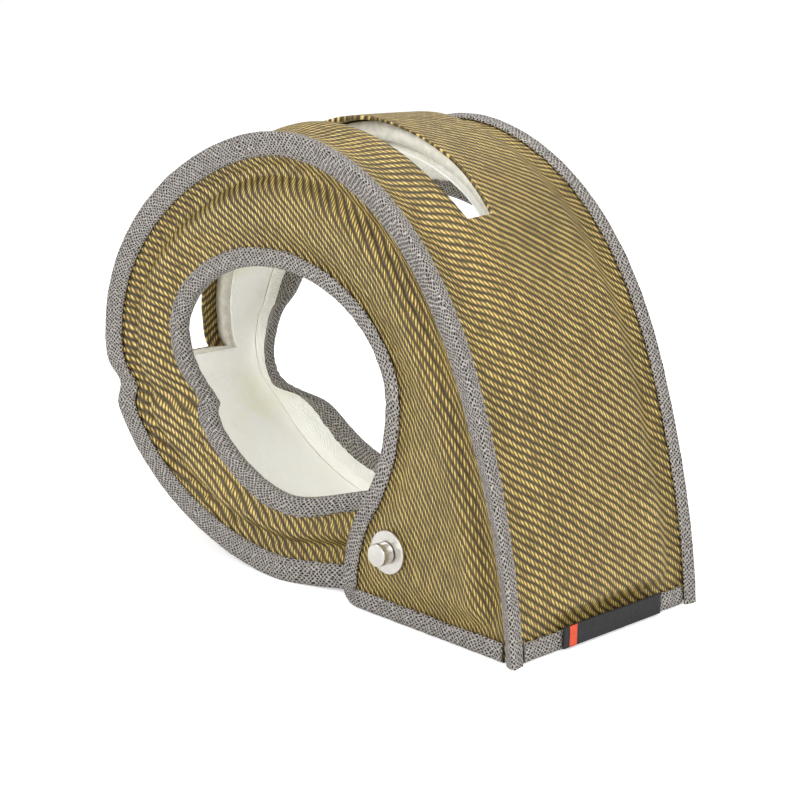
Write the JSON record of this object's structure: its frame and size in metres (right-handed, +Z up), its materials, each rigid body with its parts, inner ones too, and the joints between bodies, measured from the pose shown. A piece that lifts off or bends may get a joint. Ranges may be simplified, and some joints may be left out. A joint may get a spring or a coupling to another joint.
{
  "type": "turbo heat blanket",
  "caption": "Quilted heat blanket that wraps a turbine housing: two side panels with round bores, a wide band with a slot, mesh tape bindings and lacing studs.",
  "frame": {"origin": "middle of the ground under the whole blanket, at the height of the hems it stands on", "axes": "+X from the curled side towards the foot with the studs, +Y from the front side panel to the back one, +Z up"},
  "size_m": [0.231, 0.1186, 0.175],
  "materials": {
    "woven_shell": "olive-gold twill of lava-rock fibre with a soft metallic sheen",
    "mesh_tape": "grey wire-mesh tape folded over the seams and free edges, with dark specks",
    "needled_liner": "matt off-white glass cloth",
    "felt_core": "matt needled felt, sealed inside",
    "stud_steel": "satin stainless steel",
    "black_tab": "matt black woven tab with nothing printed on it"
  },
  "bodies": {
    "root": {"front_panel_shell": "woven_shell", "front_panel_core": "felt_core", "front_panel_liner": "needled_liner", "front_edge_tape": "mesh_tape", "front_seam_tape": "mesh_tape", "front_tail_tape": "mesh_tape", "front_stud_post": "stud_steel", "front_stud_washer": "stud_steel", "front_stud_clinch_washer": "stud_steel", "back_panel_shell": "woven_shell", "back_panel_core": "felt_core", "back_panel_liner": "needled_liner", "back_edge_tape": "mesh_tape", "back_seam_tape": "mesh_tape", "back_tail_tape": "mesh_tape", "back_stud_post": "stud_steel", "back_stud_washer": "stud_steel", "back_stud_clinch_washer": "stud_steel", "band_shell": "woven_shell", "band_core": "felt_core", "band_liner": "needled_liner", "band_foot_tape": "mesh_tape", "band_tail_tape": "mesh_tape", "label_tab": "black_tab"}
  },
  "joints": []
}
